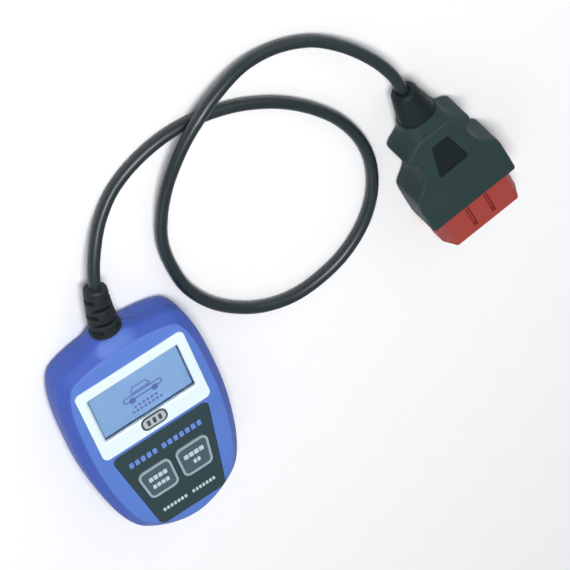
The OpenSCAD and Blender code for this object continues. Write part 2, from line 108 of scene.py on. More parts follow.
def placed(name, data):
    """A new object in the scene."""
    made = bpy.data.objects.new(name, data)
    bpy.context.scene.collection.objects.link(made)
    return made


# ---- Camera, light and floor ----

# The direction from the object to the camera, and the one that is upward in the picture
TO_CAMERA = Vector((-0.174, 0.663, 0.728)).normalized()
PICTURE_UP = Vector((0.532, 0.686, -0.497))
CAMERA_DISTANCE = 1.9
FRAME_FILL = 0.86  # share of the picture that the object takes
SENSOR = 36  # width of the camera's sensor
LIGHT_AIM = Vector((0.07, 0.04, 0))
FLOOR_HALF = 3000  # half the floor's side
FLOOR_Z = -0.05  # just below the object, so that the two never coincide


def add_camera():
    """A long lens at the photograph's viewing angle, with the whole object in its picture."""
    right = PICTURE_UP.cross(TO_CAMERA).normalized()
    up = TO_CAMERA.cross(right)
    points = [v.co for piece in frame["nodes"].values() for v in piece.data.vertices]
    across, along = [p.dot(right) for p in points], [p.dot(up) for p in points]
    depth = TO_CAMERA.dot(Vector(cad_box[0]) + Vector(cad_box[1])) / 2
    aim = (right * (min(across) + max(across)) / 2 + up * (min(along) + max(along)) / 2
           + TO_CAMERA * depth)
    span = max(max(across) - min(across), max(along) - min(along)) / FRAME_FILL
    camera = bpy.data.cameras.new("camera")
    camera.sensor_width = SENSOR
    camera.lens = SENSOR * CAMERA_DISTANCE / span
    camera.clip_start = 0.05
    camera.clip_end = 20
    holder = placed("camera", camera)
    turn = Matrix((right, up, TO_CAMERA)).transposed()
    holder.matrix_world = Matrix.Translation(aim + TO_CAMERA * CAMERA_DISTANCE) @ turn.to_4x4()
    bpy.context.scene.camera = holder


def add_area(name, place, size, power, tint=(1, 1, 1)):
    """A round soft light that points at the middle of the object."""
    light = bpy.data.lights.new(name, "AREA")
    light.shape = "DISK"
    light.size = size
    light.energy = power
    light.color = tint
    holder = placed(name, light)
    holder.location = place
    holder.rotation_euler = (LIGHT_AIM - Vector(place)).to_track_quat("-Z", "Y").to_euler()


def add_studio():
    """A pale floor under a broad soft light from above, with weak light from the sides."""
    add_area("key_light", (-0.18, 0.58, 1.2), 0.6, 15.6)
    add_area("fill_light", (-0.9, -0.5, 0.7), 0.8, 1.5, tint=(0.95, 0.98, 1))
    add_area("back_light", (0.9, 0.7, 0.6), 0.8, 1.5)
    world = bpy.data.worlds.new("studio")
    bpy.context.scene.world = world
    world.use_nodes = True
    background = world.node_tree.nodes["Background"]
    background.inputs["Color"].default_value = (0.93, 0.96, 1, 1)
    background.inputs["Strength"].default_value = 0.3
    corners = box_corners((-FLOOR_HALF, -FLOOR_HALF), (FLOOR_HALF, FLOOR_HALF))
    floor = mesh_object("floor", [(x, y, FLOOR_Z) for x, y in corners], [(0, 1, 2, 3)])
    floor.data.materials.append(plastic("floor_paper", (0.92, 0.92, 0.925), roughness=0.75,
                                        grain=0.02, grain_mm=0.8, spread=0.01))


# ---- Mesh tools ----

def mesh_object(name, points, faces, sharp=35):
    """A smooth mesh from points in millimetres. Creases sharper than `sharp` degrees stay."""
    mesh = bpy.data.meshes.new(name)
    mesh.from_pydata([Vector(p) * MM for p in points], [], faces)
    work = bmesh.new()
    work.from_mesh(mesh)
    bmesh.ops.recalc_face_normals(work, faces=work.faces)
    work.to_mesh(mesh)
    work.free()
    smooth(mesh, sharp)
    return placed(name, mesh)


def smooth(mesh, sharp=35):
    """Smooth shading, but for creases sharper than `sharp` degrees."""
    mesh.shade_smooth()
    mesh.set_sharp_from_angle(angle=math.radians(sharp))


def skin(rings, loop=False):
    """Points and faces of a closed skin through rings of equal length."""
    count = len(rings[0])
    points = [p for ring in rings for p in ring]
    faces = []
    for i in range(len(rings) if loop else len(rings) - 1):
        a, b = i * count, (i + 1) % len(rings) * count
        faces += [(a + k, a + (k + 1) % count, b + (k + 1) % count, b + k)
                  for k in range(count)]
    if not loop:
        faces.append(tuple(range(count))[::-1])
        faces.append(tuple(range(len(points) - count, len(points))))
    return points, faces


def joined(*parts):
    """Several sets of points and faces as one."""
    points, faces = [], []
    for more_points, more_faces in parts:
        start = len(points)
        points += more_points
        faces += [tuple(start + k for k in face) for face in more_faces]
    return points, faces


def corners_of(outline):
    """Each corner with the directions to the one before and the one after, and half its angle."""
    for i, corner in enumerate(outline):
        p = Vector(corner)
        a = (Vector(outline[i - 1]) - p).normalized()
        b = (Vector(outline[(i + 1) % len(outline)]) - p).normalized()
        yield p, a, b, a.angle(b) / 2


def grown(outline, distance):
    """A convex outline with its sides moved outward."""
    return [p - (a + b).normalized() * distance / math.sin(half)
            for p, a, b, half in corners_of(outline)]


def rounded(outline, radius, steps=8):
    """A convex outline with round corners, as points."""
    out = []
    for p, a, b, half in corners_of(outline):
        centre = p + (a + b).normalized() * radius / math.sin(half)
        start = p + a * radius / math.tan(half) - centre
        end = p + b * radius / math.tan(half) - centre
        sweep = start.angle_signed(end)
        for k in range(steps + 1):
            turn = Matrix.Rotation(-sweep * k / steps, 2)
            out.append(centre + turn @ start)
    return out


def box_corners(low, high):
    """The four corners of a rectangle, from its lowest and highest ones."""
    return [(low[0], low[1]), (high[0], low[1]), (high[0], high[1]), (low[0], high[1])]


def rings_of(corners, radius, stations, steps=8):
    """Rings of a round-cornered outline at each (inset, height)."""
    rings = []
    for inset, height in stations:
        outline = rounded(grown(corners, -inset), max(radius - inset, 0.05), steps)
        rings.append([(p.x, p.y, height) for p in outline])
    return rings


def prism(corners, radius, low, high, steps=8):
    """An upright round-cornered block from height `low` to height `high`."""
    return skin(rings_of(corners, radius, [(0, low), (0, high)], steps))


def softened(low, high, r):
    """Stations of a slab whose upper edge is rounded by r."""
    return [(0, low)] + [(r * (1 - math.cos(a)), high - r * (1 - math.sin(a)))
                         for a in (0, 0.5, 1.05, math.pi / 2)]


def circle(x, y, radius, z, count=40):
    """Points round a level circle."""
    return [(x + radius * math.cos(2 * math.pi * k / count),
             y + radius * math.sin(2 * math.pi * k / count), z) for k in range(count)]


def neck_ring(y, radius, count):
    """Points round the middle line of the handset's cable neck, at one place along it."""
    return [(x, y, SPLIT_Z + z) for x, z, _ in circle(0, 0, radius, 0, count)]


def baked(piece):
    """Applies the piece's modifiers and welds the points that they leave on each other."""
    graph = bpy.context.evaluated_depsgraph_get()
    mesh = bpy.data.meshes.new_from_object(piece.evaluated_get(graph), depsgraph=graph)
    work = bmesh.new()
    work.from_mesh(mesh)
    bmesh.ops.remove_doubles(work, verts=work.verts, dist=WELD)
    work.to_mesh(mesh)
    work.free()
    piece.modifiers.clear()
    piece.data = mesh
    mesh.name = piece.name
    smooth(mesh)
    return piece


def combined(piece, operation, shapes):
    """Adds shapes, each as points and faces, to the piece or takes them out of it."""
    for number, shape in enumerate(shapes):
        tool = mesh_object(f"{piece.name}_tool_{number}", *shape)
        change = piece.modifiers.new("combine", "BOOLEAN")
        change.operation = operation
        change.solver = "EXACT"
        change.object = tool
        baked(piece)
        bpy.data.objects.remove(tool)
    return piece


def cut(piece, *shapes):
    return combined(piece, "DIFFERENCE", shapes)


def added(piece, *shapes):
    return combined(piece, "UNION", shapes)


def add_bevel(piece, width, angle=40, segments=2):
    """Rounds the piece's edges that are sharper than the angle."""
    bevel = piece.modifiers.new("edges", "BEVEL")
    bevel.width = width * MM
    bevel.segments = segments
    bevel.limit_method = "ANGLE"
    bevel.angle_limit = math.radians(angle)
    return bevel


def edged(piece, width, angle=40, segments=2):
    """A bevel with round outer corners, applied."""
    add_bevel(piece, width, angle, segments).miter_outer = "MITER_ARC"
    return baked(piece)


def flat_faces(piece):
    """Keeps large faces evenly shaded where they run into small rounded ones."""
    piece.modifiers.new("normals", "WEIGHTED_NORMAL").keep_sharp = True


def at_plug(points):
    """Points given in the plug's own frame, put where the plug lies."""
    turn = Matrix.Rotation(PLUG_YAW, 3, "Z")
    return [PLUG_TIP + turn @ Vector(p) for p in points]


def at_plug_level(points):
    """Like at_plug, for heights that are already in the shared frame."""
    return [p - Vector((0, 0, PLUG_TIP.z)) for p in at_plug(points)]


REPLACED = set()  # the CAD nodes that finished pieces stand for


def finish_piece(piece, material, body="handset", replaces=()):
    """Gives a piece its finish, its body and the CAD nodes that it stands for."""
    piece.data.materials.clear()
    piece.data.materials.append(material)
    flat_faces(piece)
    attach(piece, body)
    if replaces:
        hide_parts(*replaces)
        REPLACED.update(replaces)
    return piece


# ---- Materials ----

def node(tree, kind, **values):
    """A shader node with its settings and its inputs' values or links by name, _ for a space."""
    made = tree.nodes.new(kind)
    for key, value in values.items():
        if hasattr(made, key):
            setattr(made, key, value)
        elif isinstance(value, bpy.types.NodeSocket):
            tree.links.new(value, made.inputs[key.replace("_", " ")])
        else:
            made.inputs[key.replace("_", " ")].default_value = value
    return made


def found(tree, kind):
    """The first node of a kind."""
    return next(n for n in tree.nodes if n.type == kind)


def noise(tree, place, size_mm, detail, roughness=0.5):
    """Noise of a given size on the object."""
    return node(tree, "ShaderNodeTexNoise", Vector=place.outputs["Object"],
                Scale=1 / (size_mm * MM), Detail=detail, Roughness=roughness).outputs["Fac"]


def plastic(name, colour, roughness=0.4, grain=0.3, grain_mm=0.35, spread=0.06, patch_mm=9,
            coat=0.0, wear=0.0, specular=0.5):
    """Moulded plastic or rubber: cloudy colour, fine moulded grain, uneven gloss, rubbed edges."""
    material = bpy.data.materials.new(name)
    material.use_nodes = True
    tree = material.node_tree
    tree.nodes.clear()
    shader = node(tree, "ShaderNodeBsdfPrincipled")
    node(tree, "ShaderNodeOutputMaterial", Surface=shader.outputs[0])
    shader.inputs["Coat Weight"].default_value = coat
    shader.inputs["Coat Roughness"].default_value = 0.12
    shader.inputs["Specular IOR Level"].default_value = specular
    place = node(tree, "ShaderNodeTexCoord")
    patches = noise(tree, place, patch_mm, 4)
    fine = noise(tree, place, grain_mm, 2, 0.6)
    shade = node(tree, "ShaderNodeMapRange", Value=patches, To_Min=1 - spread, To_Max=1 + spread)
    tint = node(tree, "ShaderNodeVectorMath", operation="SCALE", Vector=colour,
                Scale=shade.outputs[0])
    colour_out = tint.outputs[0]
    if wear:
        # Edges that stand out are rubbed paler
        shape = node(tree, "ShaderNodeNewGeometry")
        edge = node(tree, "ShaderNodeMapRange", Value=shape.outputs["Pointiness"], From_Min=0.52,
                    From_Max=0.62, To_Max=wear)
        pale = node(tree, "ShaderNodeMix", data_type="RGBA", Factor=edge.outputs[0], A=colour_out,
                    B=[min(1, c * 1.5 + 0.05) for c in colour] + [1])
        colour_out = pale.outputs["Result"]
    tree.links.new(colour_out, shader.inputs["Base Color"])
    gloss = node(tree, "ShaderNodeMapRange", Value=patches, To_Min=roughness - 0.06,
                 To_Max=roughness + 0.08)
    tree.links.new(gloss.outputs[0], shader.inputs["Roughness"])
    bump = node(tree, "ShaderNodeBump", Strength=grain, Distance=0.00006, Height=fine)
    tree.links.new(bump.outputs[0], shader.inputs["Normal"])
    return material


def painted_slope_shade(material, colour, steep, level):
    """Paints shade into the colour: the given darker colour where the surface slopes, the material's
    own where it is level, with a soft change.
    """
    tree = material.node_tree
    split = node(tree, "ShaderNodeSeparateXYZ", Vector=found(tree, "TEX_COORD").outputs["Normal"])
    upright = node(tree, "ShaderNodeMath", operation="ABSOLUTE", Value=split.outputs["Z"])
    share = node(tree, "ShaderNodeMapRange", Value=upright.outputs[0], From_Min=steep,
                 From_Max=level)
    tint = found(tree, "VECT_MATH").inputs[0]
    both = node(tree, "ShaderNodeMix", data_type="RGBA", Factor=share.outputs[0], A=[*colour, 1],
                B=[*tint.default_value, 1])
    tree.links.new(both.outputs["Result"], tint)
    return material


def metal(name, colour, roughness):
    """Metal with fine grain and uneven gloss."""
    material = plastic(name, colour, roughness, grain=0.15, grain_mm=0.15, spread=0.08, patch_mm=2)
    shader = material.node_tree.nodes["Principled BSDF"]
    shader.inputs["Metallic"].default_value = 1
    return material


def clear_pane(name):
    """Clear acrylic with faint haze in its surface."""
    material = bpy.data.materials.new(name)
    material.use_nodes = True
    tree = material.node_tree
    shader = tree.nodes["Principled BSDF"]
    shader.inputs["Base Color"].default_value = (0.97, 0.985, 1, 1)
    shader.inputs["Transmission Weight"].default_value = 1
    shader.inputs["IOR"].default_value = 1.2
    haze = noise(tree, node(tree, "ShaderNodeTexCoord"), 6, 3)
    gloss = node(tree, "ShaderNodeMapRange", Value=haze, To_Min=0.01, To_Max=0.05)
    tree.links.new(gloss.outputs[0], shader.inputs["Roughness"])
    return material


DOT_PITCH = 0.36  # spacing of the display's dots
WAVE_SCALE = 3.1  # about how many bands a wave texture has to the metre at scale 1


def display_material(name, colour):
    """A blue display cell, lit from behind, with a faint grid of dots."""
    material = plastic(name, colour, roughness=0.5, grain=0.02, grain_mm=1, spread=0.05,
                       patch_mm=22, specular=0.2)
    tree = material.node_tree
    shader = tree.nodes["Principled BSDF"]
    place = found(tree, "TEX_COORD")
    lines = []
    for axis in ("X", "Y"):
        wave = node(tree, "ShaderNodeTexWave", bands_direction=axis, Distortion=0.0,
                    Scale=1 / (DOT_PITCH * MM) / WAVE_SCALE, Vector=place.outputs["Object"])
        lines.append(node(tree, "ShaderNodeMapRange", Value=wave.outputs["Fac"], From_Max=0.15,
                          To_Min=0.93))
    both = node(tree, "ShaderNodeMath", operation="MULTIPLY")
    for line, factor in zip(lines, both.inputs):
        tree.links.new(line.outputs[0], factor)
    dots = node(tree, "ShaderNodeVectorMath", operation="SCALE", Scale=both.outputs[0],
                Vector=found(tree, "VECT_MATH").outputs[0])
    tree.links.new(dots.outputs[0], shader.inputs["Base Color"])
    tree.links.new(dots.outputs[0], shader.inputs["Emission Color"])
    shader.inputs["Emission Strength"].default_value = 0.25
    return material


# ---- Handset shells ----

# Right half of the outline, cable end to foot: (x, y, heading, handle before, handle after)
OUTLINE = [
    (0, HALF_L - 2.25, 0, 0, 12),
    (HALF_W - 5.75, HALF_L - 8.75, -53, 5, 8),
    (HALF_W, 7, -90, 18, 19.5),
    (HALF_W - 11.25, 10.25 - HALF_L, -134.5, 10, 6.5),
    (0, -HALF_L, -180, 9, 0),
]
OUTLINE_STEPS = (30, 22, 26, 18)
MIDDLE = Vector((0, 2))  # the face closes in on this point
NECK_R = 6.9
NECK_BLEND = 5.6  # how far the neck flares into the shell
NECK_REACH = 3.6  # the neck fades out of a ring that is drawn in by this much
NECK_START = 35  # the neck grows out of the part of the outline past this Y
CORNER_ROOM = 2.8  # the outline can be drawn in by this much before its corners fold
WALL = 2  # thickness of the shells
NECK_BORE_R = 4  # bore that the strain relief's waist passes through
FIT = 0.12  # play round the pieces that are let into the case
KEY_FIT = 0.3  # play round the keys
SCREW_PLACES = [(-22.3, 44), (22.3, 44), (-12, -44.4), (12, -44.4)]

# Outlines of the pieces that are let into the case
BEZEL_R = 2.8
LABEL_R = 2
PANEL_CORNERS = [(-23.4, 0.25), (-15.7, -45.25), (15.7, -45.25), (23.4, 0.25)]
PANEL_R = 2.8
KEY_CORNERS = {
    "right": [(1.25, -14.25), (1.25, -29.75), (15.05, -29.75), (17.25, -14.25)],
    "left": [(-17.25, -14.25), (-15.05, -29.75), (-1.25, -29.75), (-1.25, -14.25)],
}
KEY_R = 3


def heading(degrees):
    """The level direction at an angle from X."""
    return Vector((math.cos(math.radians(degrees)), math.sin(math.radians(degrees))))


def outline_points():
    """Points round the handset with their outward normals."""
    right = []
    for a, b, steps in zip(OUTLINE, OUTLINE[1:], OUTLINE_STEPS):
        start, end = Vector(a[:2]), Vector(b[:2])
        leave, arrive = start + heading(a[2]) * a[4], end - heading(b[2]) * b[3]
        for t in (k / steps for k in range(steps)):
            right.append(start * (1 - t) ** 3 + leave * 3 * t * (1 - t) ** 2
                         + arrive * 3 * t * t * (1 - t) + end * t ** 3)
    left = [Vector((-p.x, p.y)) for p in right[:0:-1]]
    points = right + [Vector((0, -HALF_L))] + left
    out = []
    for i, p in enumerate(points):
        run = (points[(i + 1) % len(points)] - points[i - 1]).normalized()
        out.append((p, Vector((-run.y, run.x))))
    return out


CASE_OUTLINE = outline_points()


def case_ring(inset, height, neck=True):
    """The handset's outline, drawn in, at one height, with the cable neck on it."""
    ring = []
    for p, normal in CASE_OUTLINE:
        q = p - normal * min(inset, CORNER_ROOM)
        q += (MIDDLE - q).normalized() * max(0, inset - CORNER_ROOM)
        reach = math.hypot(q.x, height - SPLIT_Z)
        if neck and q.y > NECK_START and reach < NECK_R + NECK_BLEND:
            t = max(0, (reach - NECK_R + 0.2) / NECK_BLEND)
            pull = (1 - t * t * (3 - 2 * t)) * max(0, 1 - inset / NECK_REACH)
            q = Vector((q.x, q.y + (HALF_L - q.y) * pull))
        ring.append((q.x, q.y, height))
    return ring


def toward_middle(ring, share, height):
    """A ring shrunk about the middle of the face, at another height."""
    return [(MIDDLE.x + (x - MIDDLE.x) * share, MIDDLE.y + (y - MIDDLE.y) * share, height)
            for x, y, _ in ring]


# The side wall and the sloped band, (inset, height above the parting line), up to the crease
BAND = [(0, 0.3), (0, 1.2), (0.06, 2.5), (0.22, 3.5), (0.55, 4.35), (1.0, 4.95), (1.9, 5.9),
        (3.0, 7.05), (3.85, 7.95), (4.2, 8.27), (4.5, 8.46), (4.9, 8.6)]
# The face within the crease: (share of the crease's distance from the middle, drop below the top)
FACE = [(0.97, 0.4), (0.93, 0.22), (0.86, 0.07), (0.77, 0), (0.4, 0), (0.1, 0)]
SEAM = 0.35  # the shells are drawn in by this much where they meet
BACK_R = 4.2  # rounding between the side wall and the back
BACK_STEPS = 9
SHELL_SHARP = 28
OPEN_Z = TOP_Z + 5  # a height clear above the handset, for cutting bodies


def front_shell():
    """Upper shell: side wall, sloped band, crease and nearly flat face, hollow inside."""
    rings = [case_ring(SEAM, SPLIT_Z)]
    rings += [case_ring(inset, SPLIT_Z + height) for inset, height in BAND]
    crest = rings[-1]
    rings += [toward_middle(crest, share, FACE_Z - drop) for share, drop in FACE]
    shell = mesh_object("front_shell_moulding", *skin(rings), sharp=SHELL_SHARP)
    inner = case_ring(WALL, SPLIT_Z - 1, neck=False)
    hollow = skin([inner, [(x, y, SPLIT_Z + 3) for x, y, _ in inner],
                   toward_middle(inner, 0.93, SPLIT_Z + 6),
                   toward_middle(inner, 0.84, FACE_Z - WALL)])
    bezel = prism(grown(box_corners(BEZEL_LOW, BEZEL_HIGH), FIT), BEZEL_R + 0.1, BEZEL_LOW.z, OPEN_Z)
    well = prism(grown(box_corners(GLASS_LOW, GLASS_HIGH), 0.1), 0.4, SPLIT_Z - 1, OPEN_Z)
    panel = prism(grown(PANEL_CORNERS, FIT), PANEL_R + FIT, PANEL_LOW.z, OPEN_Z)
    cut(shell, hollow, bezel, well, panel, *key_openings(SPLIT_Z - 1), neck_bore())
    return finish_shell(shell, "front_shell")


def finish_shell(shell, stands_for):
    """Sets a shell's creases and gives it its finish."""
    smooth(shell.data, SHELL_SHARP)
    return finish_piece(shell, CASE_BLUE, replaces=[stands_for])


def key_openings(low):
    """Cutting bodies for the two keys, from height `low` up."""
    return [prism(grown(KEY_CORNERS[side], KEY_FIT), KEY_R + KEY_FIT, low, OPEN_Z)
            for side in ("left", "right")]


def neck_bore():
    """Cutting body for the round way through the cable neck."""
    return skin([neck_ring(y, NECK_BORE_R, 40) for y in (HALF_L - 9, HALF_L + 3)])


def screw_hole(x, y):
    """Cutting body for a screw hole in the back, with a chamfered mouth."""
    return skin([circle(x, y, radius, z)
                 for radius, z in ((3.1, -1), (3.1, 0), (2.6, 0.5), (2.6, 4))])


def rear_shell():
    """Lower shell: rounded back, label recess, screw holes, hollow inside."""
    rings = [case_ring(inset, SPLIT_Z - drop)
             for inset, drop in ((SEAM, 0), (0, 0.3), (0, 2.5), (0.05, 4.5))]
    for k in range(BACK_STEPS + 1):
        a = math.pi / 2 * k / BACK_STEPS
        rings.append(case_ring(0.08 + BACK_R * (1 - math.cos(a)), (BACK_R + 0.8) * (1 - math.sin(a))))
    flat = rings[-1]
    rings += [toward_middle(flat, share, 0) for share in (0.93, 0.6, 0.2)]
    shell = mesh_object("rear_shell_moulding", *skin(rings), sharp=SHELL_SHARP)
    inner = case_ring(WALL, SPLIT_Z + 1, neck=False)
    hollow = skin([inner, [(x, y, 5) for x, y, _ in inner], toward_middle(inner, 0.9, WALL + 0.2)])
    label = prism(grown(box_corners(LABEL_LOW, LABEL_HIGH), FIT), LABEL_R + 0.1, -1, LABEL_HIGH.z)
    cut(shell, hollow, label, neck_bore(), *[screw_hole(x, y) for x, y in SCREW_PLACES])
    return finish_shell(shell, "rear_shell")


# ---- Keypad and display ----

INLAY = 0.2  # how deep printed marks reach into what they are printed on
MARK_RISE = 0.07  # how far they stand out of it
LCD_SHADOW_WIDTH = 0.5  # width of the dark line painted round the display as its window's shadow
LCD_BOTTOM, LCD_TOP = GLASS_HIGH.z - 0.1, GLASS_HIGH.z + 0.08  # heights of the display's marks


def display_bezel():
    """White frame with a rounded outer edge and a sloped inner edge."""
    outer = box_corners(BEZEL_LOW, BEZEL_HIGH)
    inner = box_corners(WINDOW_LOW, WINDOW_HIGH)
    low, high = BEZEL_LOW.z, BEZEL_HIGH.z
    rings = rings_of(outer, BEZEL_R, softened(low, high, 0.5))
    for out, height, radius in ((1.0, high, 1.1), (0.85, high - 0.03, 1.0), (0.12, high - 0.62, 0.4),
                                (0.02, high - 0.75, 0.3), (0.02, low, 0.3)):
        rings.append([(p.x, p.y, height) for p in rounded(grown(inner, out), radius)])
    frame_piece = mesh_object("bezel_moulding", *skin(rings, loop=True), sharp=30)
    return finish_piece(frame_piece, BEZEL_WHITE, replaces=["display_bezel"])


def block(x, y, half_w, half_h, radius, low, high, steps=4):
    """A small round-cornered block by its middle."""
    return prism(box_corners((x - half_w, y - half_h), (x + half_w, y + half_h)), radius, low, high,
                 steps)


def badge():
    """Blank oval badge: dark rim, pale field, three plain upright bars."""
    low, high = box_of("badge")
    corners = box_corners(low, high)
    rim_w, field_drop = 0.95, 0.14
    profile = [(0, low.z), (0, high.z - 0.12), (0.12, high.z), (rim_w - 0.2, high.z),
               (rim_w, high.z - field_drop), (rim_w, low.z)]
    rim = mesh_object("badge_rim", *skin(rings_of(corners, 2.9, profile), loop=True), sharp=30)
    finish_piece(rim, BADGE_DARK, replaces=["badge"])
    field = prism(grown(corners, 0.05 - rim_w), 2, low.z, high.z - field_drop)
    finish_piece(mesh_object("badge_field", *field), BADGE_FIELD)
    middle = (low + high) / 2
    bars = [block(middle.x + x, middle.y, 0.75, 1.5, 0.5, low.z, high.z - 0.04)
            for x in (-2.7, 0, 2.7)]
    finish_piece(mesh_object("badge_bars", *joined(*bars)), BADGE_DARK)


def keypad_panel():
    """Dark plate let into the face, with an opening for each key."""
    plate = mesh_object("panel_plate", *skin(rings_of(
        PANEL_CORNERS, PANEL_R, softened(PANEL_LOW.z, PANEL_HIGH.z, 0.4))), sharp=30)
    cut(plate, *key_openings(PANEL_LOW.z - 1))
    return finish_piece(edged(plate, 0.15, 60), PANEL_GREY,
                        replaces=["keypad_panel"])


KEY_TOP = TOP_Z - 0.35  # a key's field, below its raised rim
RING_W = 1.05  # width of the pale line round a key
RING_FLAT = 0.75  # its flat top ends this far in
FLANGE_LIP = 1.1  # how far a key's flange reaches past its sides
FLANGE_GAP = 0.625  # the flanges stay this far from the middle of the handset
STEM_R = 2.5
LEGEND_PITCH = 2.2  # about the spacing of the blocks in a key's legend
# Rows of blocks on each key, from the key's middle: (x, y, width, height)
LEGENDS = {
    "left": [(0.6, 2.0, 9.0, 2.3), (0.6, -2.3, 8.2, 2.1)],
    "right": [(-0.4, 2.0, 9.8, 2.3), (-0.4, -2.3, 3.6, 2.1)],
}


def key_middle(side):
    corners = KEY_CORNERS[side]
    return ((max(x for x, _ in corners) + min(x for x, _ in corners)) / 2,
            sum(y for _, y in corners) / 4)


def key_cap(side):
    """A key's field and sides with the flange and stem under it."""
    corners = KEY_CORNERS[side]
    low, high = box_of(f"{side}_button")
    stem_top, flange_top = high.z - 4, high.z - 3
    lip = [(max(p.x, FLANGE_GAP) if side == "right" else min(p.x, -FLANGE_GAP), p.y)
           for p in grown(corners, FLANGE_LIP)]
    cap = mesh_object(f"{side}_key_cap", *skin(rings_of(
        corners, KEY_R, softened(stem_top + 0.2, KEY_TOP, 0.25))), sharp=30)
    middle = key_middle(side)
    stem = skin([circle(*middle, STEM_R, low.z), circle(*middle, STEM_R, stem_top + 0.5)])
    added(cap, prism(lip, 3, stem_top, flange_top), stem)
    finish_piece(cap, KEY_GREY, f"{side}_key", replaces=[f"{side}_button"])


def key_rim(side):
    """The raised pale line round a key's field."""
    foot, top = KEY_TOP - 0.6, box_of(f"{side}_button")[1].z
    profile = [(0, foot), (0, top - 0.3), (0.12, top - 0.08), (0.35, top), (RING_FLAT, top),
               (RING_W, top - 0.1), (RING_W + 0.15, KEY_TOP - 0.05), (RING_W + 0.15, foot)]
    outline = grown(KEY_CORNERS[side], 0.04)
    rim = mesh_object(f"{side}_key_rim", *skin(rings_of(outline, KEY_R, profile), loop=True),
                      sharp=40)
    finish_piece(rim, KEY_RIM, f"{side}_key")


def key_legend(side):
    """Two rows of plain pale blocks on a key."""
    centre_x, centre_y = key_middle(side)
    blocks = []
    for x, y, width, height in LEGENDS[side]:
        count = max(1, round(width / LEGEND_PITCH))
        step = width / count
        for k in range(count):
            middle = centre_x + x - width / 2 + (k + 0.5) * step
            blocks.append(block(middle, centre_y + y, step / 2 - 0.2, height / 2, 0.35,
                                KEY_TOP - INLAY, KEY_TOP + MARK_RISE))
    finish_piece(mesh_object(f"{side}_key_legend", *joined(*blocks)), MARK_PALE,
                 f"{side}_key")


def mark_row(name, material, low, high, blocks, gap):
    """A row of plain printed blocks on the panel, each group (from, to, count)."""
    shapes = []
    for start, end, count in blocks:
        step = (end - start + gap) / count
        for k in range(count):
            left = start + k * step
            shapes.append(prism(box_corners((left, low), (left + step - gap, high)), 0.4,
                                PANEL_HIGH.z - INLAY, PANEL_HIGH.z + MARK_RISE, 4))
    return finish_piece(mesh_object(name, *joined(*shapes)), material)


def panel_marks():
    """A blue row of blocks above the keys and a pale one below them."""
    mark_row("panel_mark_upper", MARK_BLUE, -9.1, -6.3, [(-17.6, -4.4, 5), (-1.9, 17.1, 7)], 0.9)
    mark_row("panel_mark_lower", MARK_PALE, -39.2, -37.5, [(-12.7, -1.2, 7), (1.5, 12.5, 7)], 0.5)


def painted_display_shadow():
    """Painted shadow: a thin dark line on the display round what its window shows, where the window's
    edge would shade it.
    """
    corners = grown(box_corners(WINDOW_LOW, WINDOW_HIGH), -0.1)
    line = skin(rings_of(corners, 0.3, flat_line(LCD_SHADOW_WIDTH)), loop=True)
    finish_piece(mesh_object("painted_display_shadow", *line, sharp=30), LCD_SHADOW_PAINT)


def flat_line(width):
    """Section of a line of that width on the display."""
    return [(0, LCD_BOTTOM), (0, LCD_TOP), (width, LCD_TOP), (width, LCD_BOTTOM)]


# The sign on the display, from its middle
SIGN_X, SIGN_Y = 1.0, 23.4
CAR_BODY = [(-9.2, -2.6), (9.2, -2.6), (9.2, 0.2), (-9.2, 0.2)]
CAR_CABIN = [(-5.6, 0.4), (5.0, 0.4), (2.9, 3.7), (-3.6, 3.7)]
WHEEL_X, WHEEL_Y, WHEEL_R = 5.4, -2.7, 1.5
SIGN_LINE = 0.55
SIGN_ROWS = [(-6.3, 12), (-8.6, 15)]  # rows of short bars: (y, width)
BAR_PITCH, BAR_W, BAR_H = 1.9, 1.25, 1.1


def display_picture():
    """A plain car sign with short bars below it, dark lines on the blue display."""
    shapes = []
    for outline, radius in ((CAR_BODY, 1.0), (CAR_CABIN, 0.8)):
        corners = [(SIGN_X + x, SIGN_Y + y) for x, y in outline]
        shapes.append(skin(rings_of(corners, radius, flat_line(SIGN_LINE)), loop=True))
    for x in (-WHEEL_X, WHEEL_X):
        # The wheels stand a little higher than the body's line, which they cross
        shapes.append(skin([circle(SIGN_X + x, SIGN_Y + WHEEL_Y, WHEEL_R, z, 24)
                            for z in (LCD_BOTTOM - 0.02, LCD_TOP + 0.03)]))
    for y, width in SIGN_ROWS:
        count = round(width / BAR_PITCH)
        for k in range(count):
            left = SIGN_X - width / 2 + k * width / count
            shapes.append(block(left + BAR_W / 2, SIGN_Y + y, BAR_W / 2, BAR_H / 2, 0.25,
                                LCD_BOTTOM, LCD_TOP, 3))
    finish_piece(mesh_object("display_picture", *joined(*shapes)), LCD_INK)


# ---- Cable and its strain relief ----

CABLE_SIDES = 20
CABLE_STEPS = 8  # rings between two points of the route


def gentle(before, after):
    """Slope at a point between two slopes that lets the line overshoot neither side."""
    return 0 if before * after <= 0 else 2 * before * after / (before + after)


def eased(a, b, slope_a, slope_b, t):
    """Value on a smooth line from a to b with a slope at each end."""
    return (a * (2 * t ** 3 - 3 * t * t + 1) + slope_a * (t ** 3 - 2 * t * t + t)
            + b * (3 * t * t - 2 * t ** 3) + slope_b * (t ** 3 - t * t))


def cable_path():
    """A smooth line through the route. Its height never overshoots the points'."""
    route = [Vector(p) for p in ROUTE]
    ends = [route[0] * 2 - route[1]] + route + [route[-1] * 2 - route[-2]]
    path = []
    for i in range(1, len(ends) - 2):
        a, b, c, d = ends[i - 1:i + 3]
        for t in (k / CABLE_STEPS for k in range(CABLE_STEPS)):
            p = (b * 2 + (c - a) * t + (a * 2 - b * 5 + c * 4 - d) * t * t
                 + (b * 3 - a - c * 3 + d) * t ** 3) / 2
            p.z = eased(b.z, c.z, gentle(b.z - a.z, c.z - b.z), gentle(c.z - b.z, d.z - c.z), t)
            path.append(p)
    return path + [route[-1]]


CABLE_PATH = cable_path()


